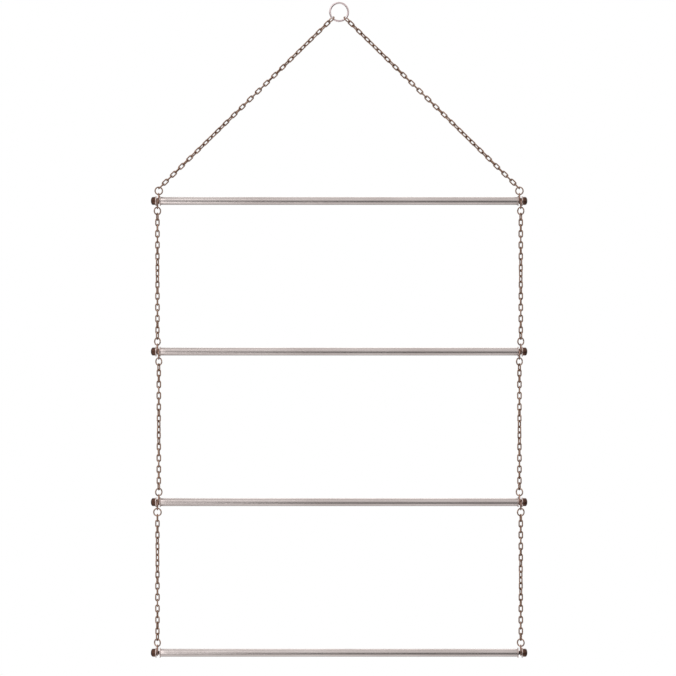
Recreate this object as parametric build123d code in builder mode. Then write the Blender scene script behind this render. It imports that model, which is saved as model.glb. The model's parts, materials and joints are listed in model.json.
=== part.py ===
from build123d import *
import math
import os

# A hanging ladder of four tube rails. Two slings of chain fall from one hanging ring to the ends
# of the top rail, and two strands of chain join each rail to the rail below it. Millimetres, +Z up,
# X along the rails, the front towards -Y. The origin is the inner top of the hanging ring, where a
# nail or hook carries it.

# ---- driving dimensions ----------------------------------------------------------------------

rail_count = 4
chain_centres = 457.2           # between the middles of the two end stacks of a rail
play = 0.1                      # between pieces of wire that hang in each other

ring_outer = 25.4               # hanging ring
ring_wire = 2.5

link_wire = 1.7                 # chain links
link_width = 6.0
link_pitch = 7.15
sling_links = 42
strand_links = 22

jump_outer = 11.0               # jump rings, one at each end of every chain
jump_wire = 1.7
eye_bore = 11.6                 # eye rings, loose on the shoulders of the knob bolts
eye_wire = 1.5
cut_width = 0.15                # butt joint where a jump ring or an eye ring was closed

tube_diameter = 10.0            # rails
tube_wall = 1.0
tube_chamfer = 0.2
insert_length = 14.0            # threaded inserts in the tube ends
thread_diameter = 4.0
thread_length = 10.0

stack_length = 6.3              # from tube end to knob: two washers with two eye rings between
lane_step = 1.7                 # between the middles of the two eye rings of a stack
shoulder_diameter = 5.0
washer_diameter = 12.7
washer_bore = 5.3
washer_thickness = 1.0
knob_diameter = 10.2
knob_length = 6.0
knob_rim = 3.4                  # straight part of the knob before its low dome

# Turn of each jump ring about its chain's run, in degrees from square to the front, top rail first.
sides = {"left": -1, "right": 1}
sling_top_turn = {"left": 24, "right": -24}
sling_foot_turn = {"left": 12, "right": -11}
upper_turns = {"left": [36, -34, 0], "right": [-38, 36, 24]}
lower_turns = {"left": [-38, 36, -36], "right": [34, -36, -30]}
strand_twists = {"left": [-90, 90, -90], "right": [90, -90, -90]}
sling_twist = {"left": 169, "right": -169}
sling_hook = 1.85               # drop of a sling's last link, hooked askew, below its ring's top

# ---- sizes worked out from them --------------------------------------------------------------

ring_radius = (ring_outer - ring_wire) / 2
ring_height = ring_wire / 2 - ring_radius
jump_radius = (jump_outer - jump_wire) / 2
eye_radius = (eye_bore + eye_wire) / 2
link_radius = (link_width - link_wire) / 2
link_half = (link_pitch + link_wire + play) / 2
link_straight = 2 * (link_half - link_radius)
tube_length = chain_centres - stack_length

# Reaches are from a rail's axis along its chain, to the middle of the wire.
eye_offset = (eye_bore - shoulder_diameter) / 2 - play
eye_reach = eye_offset + eye_radius
jump_near = eye_reach - (eye_wire + jump_wire) / 2 - play
jump_reach = jump_near + jump_radius
link_reach = jump_near + 2 * jump_radius - (jump_wire + link_wire) / 2 - play

strand_length = strand_links * link_pitch + link_wire + play
rail_spacing = 2 * link_reach + strand_length

# The slings run straight from the ring's centre to the links that hang in the sling jump rings.
top_jump_reach = ring_radius - (ring_wire + jump_wire) / 2 - play + jump_radius
sling_start = top_jump_reach + jump_radius - (jump_wire + link_wire) / 2 - play
sling_length = sling_start + sling_links * link_pitch + link_wire + play
sling_spread = (chain_centres - lane_step) / 2
sling_drop = math.sqrt(sling_length**2 - sling_spread**2)
sling_reach = jump_near + 2 * jump_radius - sling_hook
rail_heights = [
    ring_height - sling_drop - sling_reach - index * rail_spacing for index in range(rail_count)
]

# Strands hang plumb, so the two eye rings of a stack change lanes from one bay to the next.
strand_lanes = [lane_step / 2 * (-1) ** bay for bay in range(rail_count - 1)]


# ---- pieces ----------------------------------------------------------------------------------

def write(piece, name):
    """Labels a finished piece and writes its STEP file."""
    piece.part.label = name
    export_step(piece.part, f"parts/{name}.step")


def wire_ring(plane, radius, wire, cut=0.0):
    """A round ring of wire in the plane about its origin, with its cut on the plane's +X side."""
    section = Plane(origin=plane.origin, x_dir=plane.x_dir, z_dir=-plane.y_dir)
    with BuildPart() as ring:
        with BuildSketch(section):
            with Locations((radius, 0)):
                Circle(wire / 2)
        revolve(
            axis=Axis(plane.origin, plane.z_dir),
            revolution_arc=360 - math.degrees(cut / radius),
        )
    return ring


def upright_ring(x, height, turn, radius, wire):
    """A ring hanging upright, turned about the vertical from square to the front."""
    heading = math.radians(turn)
    across = (math.cos(heading), math.sin(heading), 0)
    facing = (math.sin(heading), -math.cos(heading), 0)
    plane = Plane(origin=(x, 0, height), x_dir=across, z_dir=facing)
    return wire_ring(plane, radius, wire, cut_width)


def jump_ring(x, height, turn):
    """A jump ring hanging upright in an eye ring."""
    return upright_ring(x, height, turn, jump_radius, jump_wire)


def eye_ring(x, height):
    """An eye ring square to the rail, cut at the back."""
    return upright_ring(x, height, 90, eye_radius, eye_wire)


def chain(run, turn, twist, links):
    """Links down a run, whose +Z points back up it, each turned a quarter and a share of the twist."""
    step = 90 + twist / (links + 1)
    places = [
        run.location
        * Location((0, 0, -link_half - index * link_pitch), (0, 0, turn + (index + 1) * step))
        for index in range(links)
    ]
    with BuildPart() as strand:
        with Locations(*places):
            add(chain_link.part)
    return strand


with BuildPart() as chain_link:
    with BuildSketch(Plane.XY):
        with Locations((-link_radius, 0), (link_radius, 0)):
            Circle(link_wire / 2)
    extrude(amount=link_straight / 2)
    with BuildSketch(Plane.XY.offset(link_straight / 2)):
        with Locations((link_radius, 0)):
            Circle(link_wire / 2)
    revolve(axis=Axis((0, 0, link_straight / 2), (0, -1, 0)), revolution_arc=180)
    mirror(about=Plane.XY)


os.makedirs("parts", exist_ok=True)

# ---- hanging ring and slings -----------------------------------------------------------------

ring_plane = Plane(origin=(0, 0, ring_height), x_dir=(1, 0, 0), z_dir=(0, -1, 0))
hanging_ring = wire_ring(ring_plane, ring_radius, ring_wire)
write(hanging_ring, "hanging_ring")

for side, sign in sides.items():
    back_up = Vector(-sign * sling_spread, 0, sling_drop).normalized()
    ring_centre = Vector(0, 0, ring_height)

    run = Plane(origin=ring_centre - back_up * sling_start, x_dir=(0, 1, 0), z_dir=back_up)

    # The top ring is turned from the plane of its run and Y, which is square to the ring's wire.
    heading = math.radians(sling_top_turn[side])
    across = run.x_dir * math.cos(heading) + run.y_dir * math.sin(heading)
    top_plane = Plane(
        origin=ring_centre - back_up * top_jump_reach, x_dir=across, z_dir=across.cross(back_up)
    )
    top_ring = wire_ring(top_plane, jump_radius, jump_wire, cut_width)
    write(top_ring, f"{side}_sling_top_ring")

    sling = chain(run, sling_top_turn[side], sling_twist[side], sling_links)
    write(sling, f"{side}_sling_chain")

    top_rail = rail_heights[0]
    foot_ring = jump_ring(sign * sling_spread, top_rail + jump_reach, sling_foot_turn[side])
    write(foot_ring, f"{side}_sling_jump_ring")
    sling_eye = eye_ring(sign * sling_spread, top_rail + eye_offset)
    write(sling_eye, f"{side}_sling_eye_ring")

# ---- rails -----------------------------------------------------------------------------------

for number, height in enumerate(rail_heights, 1):
    rail = f"rail_{number}"
    ends = {
        side: Plane(origin=(sign * tube_length / 2, 0, height), z_dir=(sign, 0, 0))
        for side, sign in sides.items()
    }

    with BuildPart() as tube:
        with BuildSketch(ends["left"]):
            Circle(tube_diameter / 2)
            Circle(tube_diameter / 2 - tube_wall, mode=Mode.SUBTRACT)
        extrude(amount=-tube_length)
        rims = tube.edges().filter_by(GeomType.CIRCLE).group_by(SortBy.RADIUS)[-1]
        chamfer(rims, tube_chamfer)
    write(tube, f"{rail}_tube")

    with BuildPart() as inserts:
        for end in ends.values():
            with BuildSketch(end):
                Circle(tube_diameter / 2 - tube_wall)
                Circle(thread_diameter / 2, mode=Mode.SUBTRACT)
            extrude(amount=-insert_length)
    write(inserts, f"{rail}_inserts")

    with BuildPart() as washers:
        for end in ends.values():
            for offset in (0, stack_length - washer_thickness):
                with BuildSketch(end.offset(offset)):
                    Circle(washer_diameter / 2)
                    Circle(washer_bore / 2, mode=Mode.SUBTRACT)
                extrude(amount=washer_thickness)
    write(washers, f"{rail}_washers")

    for side, sign in sides.items():
        # The profile's X runs outward along the rail's axis from the tube end.
        profile = Plane(origin=ends[side].origin, x_dir=(sign, 0, 0), z_dir=(0, -sign, 0))
        dome_start = stack_length + knob_rim
        with BuildPart() as knob:
            with BuildSketch(profile):
                with BuildLine():
                    Polyline(
                        (dome_start + knob_length - knob_rim, 0),
                        (-thread_length, 0),
                        (-thread_length, thread_diameter / 2),
                        (0, thread_diameter / 2),
                        (0, shoulder_diameter / 2),
                        (stack_length, shoulder_diameter / 2),
                        (stack_length, knob_diameter / 2),
                        (dome_start, knob_diameter / 2),
                    )
                    EllipticalCenterArc(
                        (dome_start, 0),
                        knob_length - knob_rim,
                        knob_diameter / 2,
                        start_angle=0,
                        arc_size=90,
                    )
                make_face()
            revolve(axis=Axis(profile.origin, profile.x_dir))
        write(knob, f"{rail}_{side}_knob_bolt")

# ---- strands between the rails ---------------------------------------------------------------

for bay in range(rail_count - 1):
    upper, lower = rail_heights[bay], rail_heights[bay + 1]
    for side, sign in sides.items():
        name = f"bay_{bay + 1}_{side}"
        x = sign * (chain_centres / 2 + strand_lanes[bay])
        top_turn, foot_turn = upper_turns[side][bay], lower_turns[side][bay]

        write(eye_ring(x, upper - eye_offset), f"{name}_upper_eye_ring")
        write(jump_ring(x, upper - jump_reach, top_turn), f"{name}_upper_jump_ring")
        run = Plane(origin=(x, 0, upper - link_reach))
        twist = foot_turn - top_turn + strand_twists[side][bay]
        write(chain(run, top_turn, twist, strand_links), f"{name}_chain")
        write(jump_ring(x, lower + jump_reach, foot_turn), f"{name}_lower_jump_ring")
        write(eye_ring(x, lower + eye_offset), f"{name}_lower_eye_ring")
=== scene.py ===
import json
import math

import bpy
import numpy as np
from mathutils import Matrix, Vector


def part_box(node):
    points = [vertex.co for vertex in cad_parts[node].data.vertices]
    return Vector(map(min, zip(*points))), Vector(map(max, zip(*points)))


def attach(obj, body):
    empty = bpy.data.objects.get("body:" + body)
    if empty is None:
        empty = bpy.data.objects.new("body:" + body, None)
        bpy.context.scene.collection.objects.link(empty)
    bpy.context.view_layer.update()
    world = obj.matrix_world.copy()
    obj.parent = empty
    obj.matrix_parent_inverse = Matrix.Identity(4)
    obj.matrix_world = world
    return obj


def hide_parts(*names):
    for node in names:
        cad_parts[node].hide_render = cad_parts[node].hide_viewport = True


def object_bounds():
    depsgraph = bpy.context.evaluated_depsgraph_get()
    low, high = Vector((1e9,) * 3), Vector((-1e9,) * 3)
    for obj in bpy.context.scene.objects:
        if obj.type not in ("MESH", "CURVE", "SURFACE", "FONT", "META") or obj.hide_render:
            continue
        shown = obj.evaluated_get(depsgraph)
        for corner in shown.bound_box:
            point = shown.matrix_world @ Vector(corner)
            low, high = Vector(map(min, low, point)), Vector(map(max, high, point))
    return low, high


# The looks of a hanging ladder of four tube rails on fine chains. The wire, the links, the tubes, the
# washers and the knobs are made here as fine rounded meshes on the places that the CAD nodes give.
# Metres, +Z up, X along the rails, the front towards -Y.

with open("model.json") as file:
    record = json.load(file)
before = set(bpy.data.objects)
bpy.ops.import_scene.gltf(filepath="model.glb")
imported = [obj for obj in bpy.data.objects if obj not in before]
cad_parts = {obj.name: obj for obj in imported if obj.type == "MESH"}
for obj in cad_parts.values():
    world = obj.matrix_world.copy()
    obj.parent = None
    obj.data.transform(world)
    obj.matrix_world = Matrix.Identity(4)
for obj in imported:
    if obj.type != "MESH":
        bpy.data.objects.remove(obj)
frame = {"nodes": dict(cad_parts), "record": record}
cad_low, cad_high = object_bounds()

MM = 0.001
rng = np.random.default_rng(7)

record = frame["record"]
body_of = {node: body for body, nodes in record["behaviour"]["bodies"].items() for node in nodes}
slot_of = {part["node"]: part["material_slot"] for part in record["subparts"]}
KINDS = ("chain", "eye_ring", "jump_ring", "top_ring", "tube", "washers", "knob_bolt", "inserts")
nodes_named = {kind: [node for node in body_of if node.endswith(kind)] for kind in KINDS}


# ---- camera ----------------------------------------------------------------------------------

FRAME_WIDTH = 853.8 * MM            # width of the view at the plane of the chains
CAMERA_DISTANCE = 3.4
SENSOR = 36.0                       # mm
CAMERA_X = -1.4 * MM
CAMERA_Z = -422.0 * MM


def make_camera():
    """A long level lens square to the rails, at the height of the middle of the view."""
    data = bpy.data.cameras.new("camera")
    data.sensor_width = SENSOR
    data.lens = SENSOR * CAMERA_DISTANCE / FRAME_WIDTH
    camera = bpy.data.objects.new("camera", data)
    camera.location = (CAMERA_X, -CAMERA_DISTANCE, CAMERA_Z)
    camera.rotation_euler = (math.radians(90), 0, 0)
    bpy.context.scene.collection.objects.link(camera)
    bpy.context.scene.camera = camera


make_camera()


# ---- mesh helpers ----------------------------------------------------------------------------

RUBBED_FROM = 0.72                  # how nearly a place in a loop faces along the pull where rubbing starts
RUBBED_OVER = 0.2                   # and how much more nearly it does where rubbing is full


def node_points(node):
    """The vertices of a CAD node, one row each."""
    mesh = frame["nodes"][node].data
    flat = np.empty(len(mesh.vertices) * 3, np.float32)
    mesh.vertices.foreach_get("co", flat)
    return flat.reshape(-1, 3).astype(float)


def principal_axes(points):
    """The middle of a solid's points, and its long, middle and short directions."""
    centred = points - points.mean(0)
    axes = np.linalg.svd(centred, full_matrices=False)[2]
    along = centred @ axes.T
    middle = points.mean(0) + (along.max(0) + along.min(0)) / 2 @ axes
    return middle, axes


def pointing(vector, towards):
    """The vector, turned round where needed so that it points the same way as another."""
    return vector if vector @ np.array(towards) >= 0 else -vector


def skin(rounds, sides, closed):
    """Faces between each round of vertices and the next, with flat caps on the ends where it is open."""
    faces = []
    for i in range(rounds if closed else rounds - 1):
        here, there = i * sides, (i + 1) % rounds * sides
        for k in range(sides):
            after = (k + 1) % sides
            faces.append((here + k, here + after, there + after, there + k))
    if not closed:
        faces.append(tuple(reversed(range(sides))))
        faces.append(tuple(range((rounds - 1) * sides, rounds * sides)))
    return faces


def loop_mesh(centres, outward, axis, radii, sides, closed):
    """Vertices and faces of round wire on a flat path, which runs the way that outward x axis points."""
    angles = np.arange(sides) * 2 * math.pi / sides
    spokes = (
        np.cos(angles)[None, :, None] * outward[:, None, :]
        + np.sin(angles)[None, :, None] * np.array(axis)[None, None, :]
    )
    vertices = (centres[:, None, :] + spokes * radii[:, None, None]).reshape(-1, 3)
    return vertices, skin(len(centres), sides, closed)


def lathe_mesh(profile, origin, sides, closed=True):
    """Vertices and faces of a profile of (distance along X, radius), turned about X.

    A closed profile turns into a ring. An open one gets a flat face at each end.
    """
    angles = np.arange(sides) * 2 * math.pi / sides
    around = np.stack([np.zeros(sides), np.cos(angles), np.sin(angles)], 1)
    profile = np.array(profile, float)
    vertices = (
        np.array(origin)
        + profile[:, 0][:, None, None] * np.array([1.0, 0, 0])
        + profile[:, 1][:, None, None] * around[None, :, :]
    ).reshape(-1, 3)
    return vertices, skin(len(profile), sides, closed)


def join(meshes):
    """Several lots of vertices and faces as one."""
    vertices, faces, start = [], [], 0
    for points, polygons in meshes:
        vertices.append(points)
        faces.extend(tuple(corner + start for corner in polygon) for polygon in polygons)
        start += len(points)
    return np.concatenate(vertices), faces


def add_piece(node, vertices, faces, **values):
    """A fine mesh that stands for a CAD node and is finished as it is, with values for each vertex."""
    mesh = bpy.data.meshes.new(node + ".fine")
    mesh.from_pydata(vertices.tolist(), [], faces)
    mesh.update()
    mesh.validate()
    mesh.polygons.foreach_set("use_smooth", [True] * len(mesh.polygons))
    for name, numbers in values.items():
        attribute = mesh.attributes.new(name, "FLOAT", "POINT")
        attribute.data.foreach_set("value", np.asarray(numbers, np.float32).ravel())
    piece = bpy.data.objects.new(node + ".fine", mesh)
    bpy.context.scene.collection.objects.link(piece)
    piece.data.materials.append(materials[slot_of[node]])
    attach(piece, body_of[node])
    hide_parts(node)


def inner_contact(along, sides):
    """How far each vertex of looped wire is rubbed by what hangs in it, inside the loop's two ends.

    along is the share of each place's outward direction that points along the pull.
    """
    ends = np.clip((np.abs(along) - RUBBED_FROM) / RUBBED_OVER, 0, 1)
    inward = np.clip(-np.cos(np.arange(sides) * 2 * math.pi / sides), 0, 1)
    return ends[:, None] * inward[None, :]


def arc(centre, radii, start, end, steps):
    """Points of an elliptical arc of a profile, from one angle to another in degrees."""
    angles = np.radians(np.linspace(start, end, steps))
    return [
        (centre[0] + radii[0] * math.cos(angle), centre[1] + radii[1] * math.sin(angle))
        for angle in angles
    ]


# ---- materials -------------------------------------------------------------------------------

class Shader:
    """A node material with a Principled shader, and short ways to add what feeds it."""

    def __init__(self, name):
        self.material = bpy.data.materials.new(name)
        self.material.use_nodes = True
        self.tree = self.material.node_tree
        self.principled = self.tree.nodes["Principled BSDF"]
        self.place = self.tree.nodes.new("ShaderNodeTexCoord").outputs["Object"]

    def link(self, source, target):
        """Feeds an output into an input."""
        self.tree.links.new(source, target)

    def set(self, name, value):
        """Sets one of the Principled shader's own numbers or colours."""
        self.principled.inputs[name].default_value = value

    def noise(self, scale, detail=3.0, roughness=0.55, stretch=(1, 1, 1)):
        """Noise with scale features to the metre, drawn out along the axes with a small stretch."""
        mapping = self.tree.nodes.new("ShaderNodeMapping")
        mapping.inputs["Scale"].default_value = stretch
        self.link(self.place, mapping.inputs["Vector"])
        noise = self.tree.nodes.new("ShaderNodeTexNoise")
        noise.inputs["Scale"].default_value = scale
        noise.inputs["Detail"].default_value = detail
        noise.inputs["Roughness"].default_value = roughness
        self.link(mapping.outputs["Vector"], noise.inputs["Vector"])
        return noise.outputs["Fac"]

    def span(self, source, low, high, to_low, to_high):
        """A value mapped from one range to another, and held inside it."""
        node = self.tree.nodes.new("ShaderNodeMapRange")
        node.inputs["From Min"].default_value = low
        node.inputs["From Max"].default_value = high
        node.inputs["To Min"].default_value = to_low
        node.inputs["To Max"].default_value = to_high
        self.link(source, node.inputs["Value"])
        return node.outputs["Result"]

    def maths(self, operation, first, second):
        """Two values, or a value and a number, put together."""
        node = self.tree.nodes.new("ShaderNodeMath")
        node.operation = operation
        for value, target in ((first, node.inputs[0]), (second, node.inputs[1])):
            if isinstance(value, (int, float)):
                target.default_value = value
            else:
                self.link(value, target)
        return node.outputs["Value"]

    def mix(self, factor, first, second):
        """Two colours mixed by a value."""
        node = self.tree.nodes.new("ShaderNodeMix")
        node.data_type = "RGBA"
        self.link(factor, node.inputs["Factor"])
        for value, target in ((first, node.inputs["A"]), (second, node.inputs["B"])):
            if isinstance(value, tuple):
                target.default_value = (*value, 1)
            else:
                self.link(value, target)
        return node.outputs["Result"]

    def attribute(self, name):
        """The value that add_piece gave each vertex under a name, or 0 where it gave none."""
        node = self.tree.nodes.new("ShaderNodeAttribute")
        node.attribute_name = name
        return node.outputs["Fac"]

    def crevice(self, reach):
        """1 on open faces, falling towards 0 where other faces of the piece stand within reach."""
        node = self.tree.nodes.new("ShaderNodeAmbientOcclusion")
        node.samples = 4
        node.inputs["Distance"].default_value = reach
        return node.outputs["AO"]

    def bump(self, *layers):
        """Bump from pairs of a height value and its depth in metres."""
        normal = None
        for height, depth in layers:
            node = self.tree.nodes.new("ShaderNodeBump")
            node.inputs["Distance"].default_value = depth
            self.link(height, node.inputs["Height"])
            if normal is not None:
                self.link(normal, node.inputs["Normal"])
            normal = node.outputs["Normal"]
        self.link(normal, self.principled.inputs["Normal"])

    def colour(self, source):
        """Gives the surface its colour."""
        self.link(source, self.principled.inputs["Base Color"])

    def roughness(self, source):
        """Gives the surface its roughness."""
        self.link(source, self.principled.inputs["Roughness"])


def wire_metal(name, clean, dull, grime_and_shade, smooth, rough):
    """Plated wire: dull in patches and finely specked with grime, rubbed bright where pieces meet, and
    darkened with painted shade where other pieces stand close.
    """
    shader = Shader(name)
    shader.set("Metallic", 1.0)
    patches = shader.span(shader.noise(260, 4), 0.35, 0.7, 0, 1)
    # The tone attribute is each piece's own dullness, at random or at a weld; on the slings it also carries
    # painted shade.
    tone = shader.span(shader.attribute("tone"), 0, 2, -0.25, 0.75)
    base = shader.mix(shader.maths("ADD", patches, tone), clean, dull)
    # Painted shade: the dark colour is laid wherever other faces stand close, as between crossing links;
    # the same colour in fine specks is grime.
    open_faces = shader.span(shader.crevice(1.2 * MM), 0.25, 0.85, 0, 1)
    grain = shader.noise(2600, 3)
    rubbed = shader.maths("MULTIPLY", shader.attribute("worn"), shader.span(grain, 0.3, 0.6, 0.45, 1))
    specks = shader.span(shader.noise(1500, 2), 0.66, 0.74, 0, 0.5)
    bright = tuple(min(1.45 * value + 0.1, 0.85) for value in clean)
    shaded_and_specked = shader.mix(specks, shader.mix(open_faces, grime_and_shade, base), grime_and_shade)
    shader.colour(shader.mix(rubbed, shaded_and_specked, bright))
    spread = shader.maths("MULTIPLY", patches, rough - smooth)
    satin = shader.maths("ADD", spread, shader.span(grain, 0.3, 0.7, smooth, smooth + 0.08))
    shader.roughness(shader.maths("SUBTRACT", satin, shader.maths("MULTIPLY", rubbed, 0.1)))
    shader.bump((grain, 0.006 * MM), (shader.noise(700, 2), 0.03 * MM))
    return shader.material


def tube_metal(name):
    """Satin nickel on drawn tube: hairlines along it, soft smudges, a few longer scratches."""
    shader = Shader(name)
    shader.set("Metallic", 1.0)
    hairlines = shader.noise(1, 2, 0.5, (30, 3600, 3600))
    drawn = shader.noise(1, 2, 0.5, (9, 900, 900))
    smudges = shader.noise(1, 4, 0.6, (22, 160, 160))
    cloud = shader.span(smudges, 0.38, 0.68, 0, 1)
    plating = shader.span(shader.noise(1, 2, 0.5, (7, 9, 9)), 0.32, 0.68, 0, 1)
    bright = shader.mix(cloud, (0.66, 0.595, 0.58), (0.61, 0.545, 0.53))
    dim = shader.mix(cloud, (0.54, 0.475, 0.46), (0.49, 0.43, 0.415))
    base = shader.mix(plating, bright, dim)
    lines = shader.span(hairlines, 0.35, 0.65, 0, 0.22)
    brushed = shader.mix(lines, base, (0.44, 0.385, 0.37))
    scratches = shader.span(shader.noise(1, 1, 0.5, (55, 1900, 1900)), 0.7, 0.76, 0, 0.4)
    shader.colour(shader.mix(scratches, brushed, (0.36, 0.31, 0.295)))
    gloss = shader.span(hairlines, 0.3, 0.7, 0.21, 0.29)
    shader.roughness(shader.maths("ADD", gloss, shader.maths("MULTIPLY", cloud, 0.08)))
    shader.bump((hairlines, 0.0015 * MM), (drawn, 0.004 * MM))
    return shader.material


def knob_metal(name):
    """Oil rubbed bronze: near black brown, rubbed to bronze on the rim and the crown, on a nickel bolt."""
    shader = Shader(name)
    shader.set("Metallic", 0.85)
    shader.set("Coat Weight", 0.12)
    shader.set("Coat Roughness", 0.25)
    patches = shader.span(shader.noise(420, 4), 0.4, 0.7, 0, 1)
    base = shader.mix(patches, (0.056, 0.023, 0.014), (0.094, 0.040, 0.025))
    rubbed = shader.maths("MULTIPLY", shader.attribute("tone"), shader.span(patches, 0, 1, 0.5, 1))
    bronze = shader.mix(rubbed, base, (0.26, 0.135, 0.09))
    shader.colour(shader.mix(shader.attribute("bare"), bronze, (0.60, 0.50, 0.475)))
    grain = shader.noise(1800, 3)
    shader.roughness(shader.span(grain, 0.3, 0.7, 0.3, 0.44))
    shader.bump((grain, 0.008 * MM), (shader.noise(500, 2), 0.03 * MM))
    return shader.material


def plated_metal(name, clean, dull):
    """Plated steel with a fine grain, dull in patches and with painted shade in the gaps, for washers and
    inserts.
    """
    shader = Shader(name)
    shader.set("Metallic", 1.0)
    patches = shader.span(shader.noise(350, 4), 0.35, 0.7, 0, 1)
    base = shader.mix(patches, clean, dull)
    open_faces = shader.span(shader.crevice(1.5 * MM), 0.2, 0.8, 0, 1)
    # Painted shade: a dark brown laid wherever other faces stand close, as in the gaps of the washer
    # stacks.
    shader.colour(shader.mix(open_faces, (0.2, 0.14, 0.12), base))
    grain = shader.noise(3000, 3)
    shader.roughness(shader.span(grain, 0.3, 0.7, 0.16, 0.3))
    shader.bump((grain, 0.005 * MM))
    return shader.material


# Each wire metal's last colour is grime in fine specks, and painted shade where pieces stand close.
CHAIN_GRIME_AND_SHADE = (0.055, 0.034, 0.026)

materials = {
    "ring_steel": wire_metal(
        "ring_steel", (0.71, 0.585, 0.59), (0.59, 0.485, 0.49), (0.28, 0.22, 0.215), 0.2, 0.36
    ),
    "chain_steel": wire_metal(
        "chain_steel", (0.40, 0.265, 0.205), (0.26, 0.155, 0.112), CHAIN_GRIME_AND_SHADE, 0.24, 0.42
    ),
    "jump_steel": wire_metal(
        "jump_steel", (0.38, 0.26, 0.205), (0.25, 0.155, 0.117), CHAIN_GRIME_AND_SHADE, 0.2, 0.36
    ),
    "eye_steel": wire_metal(
        "eye_steel", (0.45, 0.29, 0.235), (0.29, 0.18, 0.14), (0.06, 0.032, 0.022), 0.18, 0.34
    ),
    "tube_nickel": tube_metal("tube_nickel"),
    "knob_bronze": knob_metal("knob_bronze"),
    "washer_nickel": plated_metal("washer_nickel", (0.72, 0.60, 0.57), (0.56, 0.45, 0.42)),
    "insert_steel": plated_metal("insert_steel", (0.55, 0.54, 0.53), (0.42, 0.41, 0.40)),
}


# ---- rings of wire ---------------------------------------------------------------------------

RING_WIRE = 2.5 * MM
JUMP_WIRE = 1.7 * MM
EYE_WIRE = 1.5 * MM
CUT_WIDTH = 0.15 * MM
CUT_BEVEL = 0.12 * MM
RING_SIDES = 16
RING_ROUNDS = 72                    # of vertices along the wire of a small ring
LEANING = 0.2                       # height of a ring's facing direction from which it isn't upright
HANGING_SIDES = 24
HANGING_ROUNDS = 144
WELD_ANGLE = math.radians(38)       # up from the right
WELD_REACH = 1.0 * MM
WELD_RISE = 0.05                    # of the wire's radius
HELD_ANGLES = np.radians([90, 225, 315])       # where the nail and the two top rings bear
HELD_FROM = 0.94                    # cosine of the angle from them where rubbing starts
HELD_OVER = 0.05                    # and how much more it is where rubbing is full


def ring_frame(node, wire):
    """A ring's middle, its radius to the middle of the wire, and the direction it faces."""
    points = node_points(node)
    facing = pointing(np.linalg.svd(points - points.mean(0), full_matrices=False)[2][2], (-1, -1, -1))
    low, high = points.min(0), points.max(0)
    middle = (low + high) / 2
    radius = np.linalg.norm(points - middle, axis=1).max() - wire / 2
    return middle, radius, facing


def cut_ring(node, wire):
    """A small ring of wire bent round until its cut ends meet, with the ends' edges broken."""
    middle, radius, facing = ring_frame(node, wire)
    leaning = abs(facing[2]) > LEANING      # as only the two top rings do
    up = np.array([0, 1.0, 0]) if leaning else np.array([0, 0, 1.0])
    across = np.cross(up, facing)
    across /= np.linalg.norm(across)
    across = pointing(across, (1, 0.5, 0))
    upward = np.cross(across, facing)
    half_cut = CUT_WIDTH / 2 / radius
    bevel = CUT_BEVEL / radius
    body = np.linspace(half_cut + bevel, 2 * math.pi - half_cut - bevel, RING_ROUNDS)
    turns = np.concatenate([[half_cut], body, [2 * math.pi - half_cut]])
    outward = np.cos(turns)[:, None] * across + np.sin(turns)[:, None] * upward
    radii = np.full(len(turns), wire / 2)
    radii[[0, -1]] -= CUT_BEVEL
    vertices, faces = loop_mesh(middle + outward * radius, outward, facing, radii, RING_SIDES, False)
    worn = inner_contact(np.sin(turns), RING_SIDES)
    add_piece(node, vertices, faces, tone=np.full(len(vertices), rng.uniform()), worn=worn)


def hanging_ring():
    """The big ring, closed by a weld that stands a little proud at one shoulder."""
    middle, radius, _ = ring_frame("hanging_ring", RING_WIRE)
    turns = np.linspace(0, 2 * math.pi, HANGING_ROUNDS + 1)[:-1]
    outward = np.stack([np.cos(turns), np.zeros_like(turns), np.sin(turns)], 1)
    weld = np.exp(-(((turns - WELD_ANGLE) * radius / WELD_REACH) ** 2))
    radii = RING_WIRE / 2 * (1 + WELD_RISE * weld)
    centres = middle + outward * radius
    vertices, faces = loop_mesh(centres, outward, (0, 1, 0), radii, HANGING_SIDES, True)
    tones = np.repeat(0.4 + 0.6 * weld, HANGING_SIDES)
    nearness = np.cos(turns[:, None] - HELD_ANGLES[None, :]).max(1)
    held = np.clip((nearness - HELD_FROM) / HELD_OVER, 0, 1)
    worn = held[:, None] * inner_contact(np.ones(1), HANGING_SIDES)
    add_piece("hanging_ring", vertices, faces, tone=tones, worn=worn)


hanging_ring()
for kind, kind_wire in (("eye_ring", EYE_WIRE), ("jump_ring", JUMP_WIRE), ("top_ring", JUMP_WIRE)):
    for node_name in nodes_named[kind]:
        cut_ring(node_name, kind_wire)


# ---- chains ----------------------------------------------------------------------------------

LINK_WIRE = 1.7 * MM
LINK_SIDES = 12
BEND_ROUNDS = 17                    # of vertices along each of a link's two bends
SEAM_STEPS = (-0.9, -0.35, -0.12, 0.0, 0.12, 0.35, 0.9)      # mm from a link's butt seam
SEAM_WIRE = (1.0, 1.03, 1.0, 0.86, 1.0, 1.03, 1.0)           # of the wire's radius there
LINKS_OF = {"sling": 42, "bay": 22}
PAINTED_SHADE_OF = {"sling": 0.6, "bay": 0.0}                        # painted shade added to each link's own dullness: the slanting slings come out darker, as though they caught less light


def link_path(length, width):
    """A link's path round its wire's middle, from just below its seam.

    Gives places and outward directions in the link's plane, and the wire's radius at each place.
    """
    bend = (width - LINK_WIRE) / 2
    straight = (length - LINK_WIRE) / 2 - bend
    places, outward, radii = [], [], []
    for step, share in zip(SEAM_STEPS, SEAM_WIRE):
        places.append((bend, step * MM))
        outward.append((1, 0))
        radii.append(share)
    for start, height in ((0, straight), (180, -straight)):
        for angle in np.radians(np.linspace(start, start + 180, BEND_ROUNDS)):
            direction = (math.cos(angle), math.sin(angle))
            places.append((bend * direction[0], height + bend * direction[1]))
            outward.append(direction)
            radii.append(1.0)
    return np.array(places), np.array(outward), np.array(radii) * LINK_WIRE / 2


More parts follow.
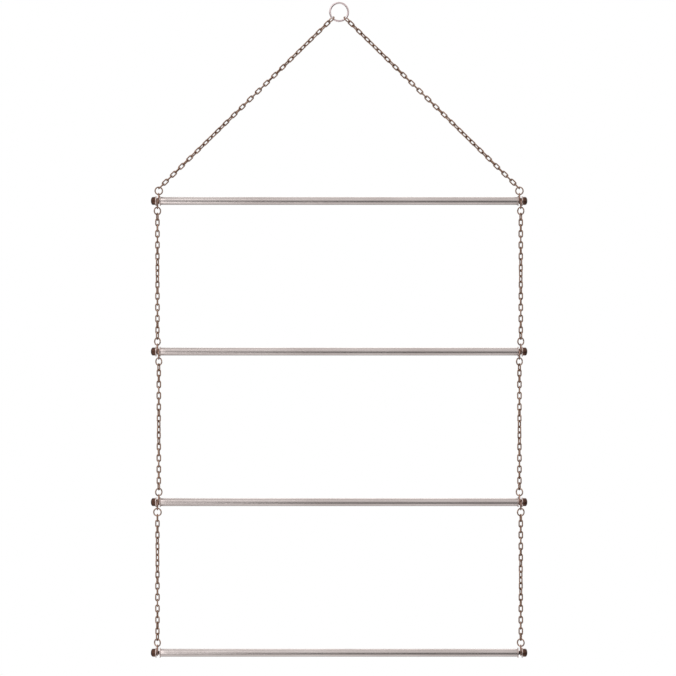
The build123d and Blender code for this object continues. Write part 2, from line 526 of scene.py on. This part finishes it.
def chain(node):
    """Every link of a chain as bent wire, on the place and turn of its CAD solid."""
    kind = "sling" if "sling" in node else "bay"
    count, painted_shade = LINKS_OF[kind], PAINTED_SHADE_OF[kind]
    solids = node_points(node).reshape(count, -1, 3)    # every link has the same number of points
    links, tones, worn = [], [], []
    for index, points in enumerate(solids):
        middle, axes = principal_axes(points)
        up = pointing(axes[0], (0, 0, 1))
        across = pointing(axes[1], (1, 0.3, 0))
        if index % 2:
            across = -across    # so that the seams lie on both sides of the chain
        facing = np.cross(up, across)
        along = (points - middle) @ up
        width = (points - middle) @ across
        places, outward, radii = link_path(np.ptp(along), np.ptp(width))
        centres = middle + places[:, :1] * across + places[:, 1:] * up
        spokes = outward[:, :1] * across + outward[:, 1:] * up
        vertices, faces = loop_mesh(centres, spokes, facing, radii, LINK_SIDES, True)
        links.append((vertices, faces))
        # Painted shade: on top of its random dullness, a sling's link is darkened as if less light reached
        # it.
        tones.append(np.full(len(vertices), painted_shade + rng.uniform()))
        worn.append(inner_contact(outward[:, 1], LINK_SIDES).ravel())
    vertices, faces = join(links)
    add_piece(node, vertices, faces, tone=np.concatenate(tones), worn=np.concatenate(worn))


for node_name in nodes_named["chain"]:
    chain(node_name)


# ---- rails -----------------------------------------------------------------------------------

TUBE_WALL = 1.0 * MM
TUBE_EDGE = 0.2 * MM
STACK_LENGTH = 6.3 * MM
WASHER_BORE = 5.3 * MM
WASHER_THICKNESS = 1.0 * MM
WASHER_EDGE = 0.18 * MM
THREAD_RADIUS = 2.0 * MM
THREAD_LENGTH = 10.0 * MM
SHOULDER_RADIUS = 2.5 * MM
KNOB_RIM = 3.4 * MM
KNOB_EDGE = 0.35 * MM
RIM_TONE = 0.7                      # how far the knob's rim is rubbed to bronze
CROWN_TONE = 0.35                   # and the middle of its crown
CROWN_REACH = 0.45                  # of the knob's radius, to where that fades out
TURNED_SIDES = 64
TUBE_SIDES = 96
TUBE_STATIONS = 61                  # along a tube, so that its faces stay short


def tube(node):
    """A rail's tube, open right through, with its outer edges rounded."""
    low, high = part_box(node)
    length, outer = high.x - low.x, (high.z - low.z) / 2
    inner = outer - TUBE_WALL
    origin = (low.x, 0, (low.z + high.z) / 2)
    stations = np.linspace(TUBE_EDGE, length - TUBE_EDGE, TUBE_STATIONS)[1:-1]
    edge = (TUBE_EDGE, TUBE_EDGE)
    profile = [(0, inner)]
    profile += arc((TUBE_EDGE, outer - TUBE_EDGE), edge, 180, 90, 5)
    profile += [(station, outer) for station in stations]
    profile += arc((length - TUBE_EDGE, outer - TUBE_EDGE), edge, 90, 0, 5)
    profile += [(length, inner)]
    vertices, faces = lathe_mesh(profile, origin, TUBE_SIDES)
    add_piece(node, vertices, faces)


def washers(node):
    """Four washers with rounded edges, two at each end of a rail."""
    low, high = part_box(node)
    outer, bore = (high.z - low.z) / 2, WASHER_BORE / 2
    height = (low.z + high.z) / 2
    starts = [
        low.x,
        low.x + STACK_LENGTH - WASHER_THICKNESS,
        high.x - STACK_LENGTH,
        high.x - WASHER_THICKNESS,
    ]
    edge = (WASHER_EDGE, WASHER_EDGE)
    profile = []
    profile += arc((WASHER_EDGE, bore + WASHER_EDGE), edge, 270, 180, 4)
    profile += arc((WASHER_EDGE, outer - WASHER_EDGE), edge, 180, 90, 5)
    profile += arc((WASHER_THICKNESS - WASHER_EDGE, outer - WASHER_EDGE), edge, 90, 0, 5)
    profile += arc((WASHER_THICKNESS - WASHER_EDGE, bore + WASHER_EDGE), edge, 0, -90, 4)
    vertices, faces = join([lathe_mesh(profile, (x, 0, height), TURNED_SIDES) for x in starts])
    add_piece(node, vertices, faces)


def knob_bolt(node):
    """A domed knob with its shoulder and thread, rubbed bright on its rim and crown.

    It is turned along +X from the thread's end, then moved to its rail and reversed on the left.
    """
    low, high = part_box(node)
    radius = (high.z - low.z) / 2
    base = THREAD_LENGTH + STACK_LENGTH
    dome = high.x - low.x - base - KNOB_RIM
    edge = (KNOB_EDGE, KNOB_EDGE)
    profile = [
        (0, THREAD_RADIUS),
        (THREAD_LENGTH, THREAD_RADIUS),
        (THREAD_LENGTH, SHOULDER_RADIUS),
        (base, SHOULDER_RADIUS),
        (base, SHOULDER_RADIUS + KNOB_EDGE),
    ]
    bare_rounds = len(profile) - 1
    profile += arc((base + KNOB_EDGE, radius - KNOB_EDGE), edge, 180, 90, 6)
    profile += [(base + 0.7 * KNOB_RIM, radius)]    # keeps the shading of the straight side flat
    profile += arc((base + KNOB_RIM, 0), (dome, radius), 90, 1, 22)
    vertices, faces = lathe_mesh(profile, (0, 0, 0), TURNED_SIDES, closed=False)
    along, around = vertices[:, 0].copy(), np.linalg.norm(vertices[:, 1:], axis=1)
    rim = np.exp(-(((along - base - KNOB_EDGE / 2) / KNOB_EDGE) ** 2)) * (around > 0.9 * radius)
    crown = np.clip(1 - around / (CROWN_REACH * radius), 0, 1) * (along > base + KNOB_RIM)
    tones = np.clip(RIM_TONE * rim + CROWN_TONE * crown, 0, 1)
    bare = np.arange(len(vertices)) < bare_rounds * TURNED_SIDES
    sign = -1 if "left" in node else 1
    inner_end = high.x if sign < 0 else low.x
    vertices[:, 0] = inner_end + sign * vertices[:, 0]
    vertices[:, 2] += (low.z + high.z) / 2
    if sign < 0:
        faces = [tuple(reversed(face)) for face in faces]
    add_piece(node, vertices, faces, tone=tones, bare=bare)


for node_name in nodes_named["tube"]:
    tube(node_name)
for node_name in nodes_named["washers"]:
    washers(node_name)
for node_name in nodes_named["knob_bolt"]:
    knob_bolt(node_name)
for node_name in nodes_named["inserts"]:
    frame["nodes"][node_name].material_slots[0].material = materials["insert_steel"]


# ---- studio ----------------------------------------------------------------------------------

FLOOR_DROP = 0.42                   # below the lowest rail
FLOOR_RADIUS = 3.0
FLOOR_SIDES = 96
FADE_FROM, FADE_TO = 0.4, 0.97      # of the floor's radius, where it fades out

# How bright the room is in reflections, from straight down at 0, over level at 0.5, to straight up at 1.
ROOM_LEVELS = (
    (0.0, 1.0),
    (0.08, 0.8),
    (0.16, 0.42),
    (0.26, 0.1),
    (0.37, 0.12),
    (0.5, 0.58),
    (0.75, 0.9),
    (1.0, 0.92),
)


def make_world():
    """White to the camera. In reflections, a room that is bright above and dark below the horizon."""
    world = bpy.data.worlds.new("studio")
    bpy.context.scene.world = world
    world.use_nodes = True
    tree = world.node_tree
    tree.nodes.clear()
    place = tree.nodes.new("ShaderNodeTexCoord")
    split = tree.nodes.new("ShaderNodeSeparateXYZ")
    tree.links.new(place.outputs["Generated"], split.inputs["Vector"])
    height = tree.nodes.new("ShaderNodeMapRange")
    height.inputs["From Min"].default_value = -1
    tree.links.new(split.outputs["Z"], height.inputs["Value"])
    ramp = tree.nodes.new("ShaderNodeValToRGB")
    tree.links.new(height.outputs["Result"], ramp.inputs["Fac"])
    elements = ramp.color_ramp.elements
    while len(elements) < len(ROOM_LEVELS):
        elements.new(0.5)
    for element, (position, level) in zip(elements, ROOM_LEVELS):
        element.position = position
        element.color = (level, level, level * 0.99, 1)
    room = tree.nodes.new("ShaderNodeBackground")
    tree.links.new(ramp.outputs["Color"], room.inputs["Color"])
    white = tree.nodes.new("ShaderNodeBackground")
    white.inputs["Color"].default_value = (1, 1, 1, 1)
    ray = tree.nodes.new("ShaderNodeLightPath")
    choice = tree.nodes.new("ShaderNodeMixShader")
    tree.links.new(ray.outputs["Is Camera Ray"], choice.inputs["Fac"])
    tree.links.new(room.outputs["Background"], choice.inputs[1])
    tree.links.new(white.outputs["Background"], choice.inputs[2])
    output = tree.nodes.new("ShaderNodeOutputWorld")
    tree.links.new(choice.outputs["Shader"], output.inputs["Surface"])


def add_light(name, place, target, size, power):
    """A square soft light that faces a point, with its size in metres and its power in watts."""
    data = bpy.data.lights.new(name, "AREA")
    data.size = size
    data.energy = power
    light = bpy.data.objects.new(name, data)
    light.location = place
    light.rotation_euler = (Vector(target) - Vector(place)).to_track_quat("-Z", "Y").to_euler()
    light.visible_camera = False
    bpy.context.scene.collection.objects.link(light)


def make_floor():
    """A pale round floor well below the ladder, which hangs."""
    angles = [i * 2 * math.pi / FLOOR_SIDES for i in range(FLOOR_SIDES)]
    rim = [(FLOOR_RADIUS * math.cos(angle), FLOOR_RADIUS * math.sin(angle), 0) for angle in angles]
    mesh = bpy.data.meshes.new("floor")
    mesh.from_pydata(rim, [], [tuple(range(FLOOR_SIDES))])
    floor = bpy.data.objects.new("floor", mesh)
    floor.location = (0, 0, cad_low.z - FLOOR_DROP)
    bpy.context.scene.collection.objects.link(floor)
    shader = Shader("floor")
    shader.set("Roughness", 0.9)
    cloud = shader.noise(3, 2)
    shader.colour(shader.mix(shader.span(cloud, 0.3, 0.7, 0, 1), (0.86, 0.86, 0.86), (0.9, 0.9, 0.9)))
    shader.set("Emission Color", (1, 1, 1, 1))
    shader.set("Emission Strength", 0.25)
    reach = shader.tree.nodes.new("ShaderNodeVectorMath")
    reach.operation = "LENGTH"
    shader.link(shader.place, reach.inputs[0])
    solid = shader.span(reach.outputs["Value"], FADE_FROM * FLOOR_RADIUS, FADE_TO * FLOOR_RADIUS, 1, 0)
    shader.link(solid, shader.principled.inputs["Alpha"])
    mesh.materials.append(shader.material)
    floor.visible_glossy = False


make_world()
make_floor()
middle_height = (cad_low.z + cad_high.z) / 2
middle = (0, 0, middle_height)
left_of_middle = (-0.3, 0, middle_height)
add_light("key", (-1.3, -1.5, 1.0), middle, 1.8, 14)
add_light("fill", (1.6, -1.2, 0.2), middle, 1.2, 3)
add_light("back", (0.4, 1.8, 0.8), middle, 1.6, 8)
add_light("card", (-0.75, -0.8, middle_height - 0.5), left_of_middle, 1.1, 5)
bpy.context.scene.view_settings.view_transform = "Standard"
